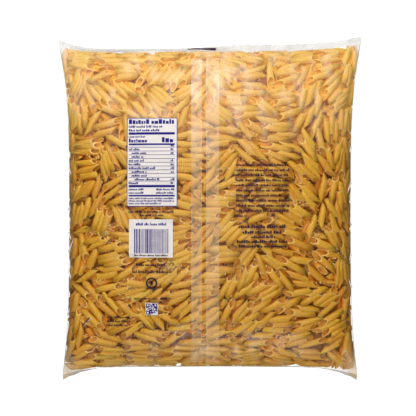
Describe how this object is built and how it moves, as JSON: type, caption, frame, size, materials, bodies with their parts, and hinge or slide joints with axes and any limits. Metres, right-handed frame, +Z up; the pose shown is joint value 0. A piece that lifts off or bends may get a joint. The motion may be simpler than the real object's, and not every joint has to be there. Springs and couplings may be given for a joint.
{
  "type": "pasta packet",
  "caption": "Large clear film pillow bag packed full of short dry pasta tubes, with a back seam, flat end seals and flared corners, lying with its back up.",
  "frame": {"origin": "on the floor, under the middle of the bag", "axes": "+Z up through the printed back, +Y towards the top seal, +X to the right of the printed back"},
  "size_m": [0.409, 0.4666, 0.0931],
  "materials": {
    "film": "clear, glossy and crinkled, milky along its seams",
    "pasta": "dry pasta, amber yellow and slightly translucent",
    "print_white": "opaque white ink on the film",
    "print_dark": "dark blue ink on the film"
  },
  "bodies": {
    "root": {"pasta_bag": "film"}
  },
  "joints": []
}
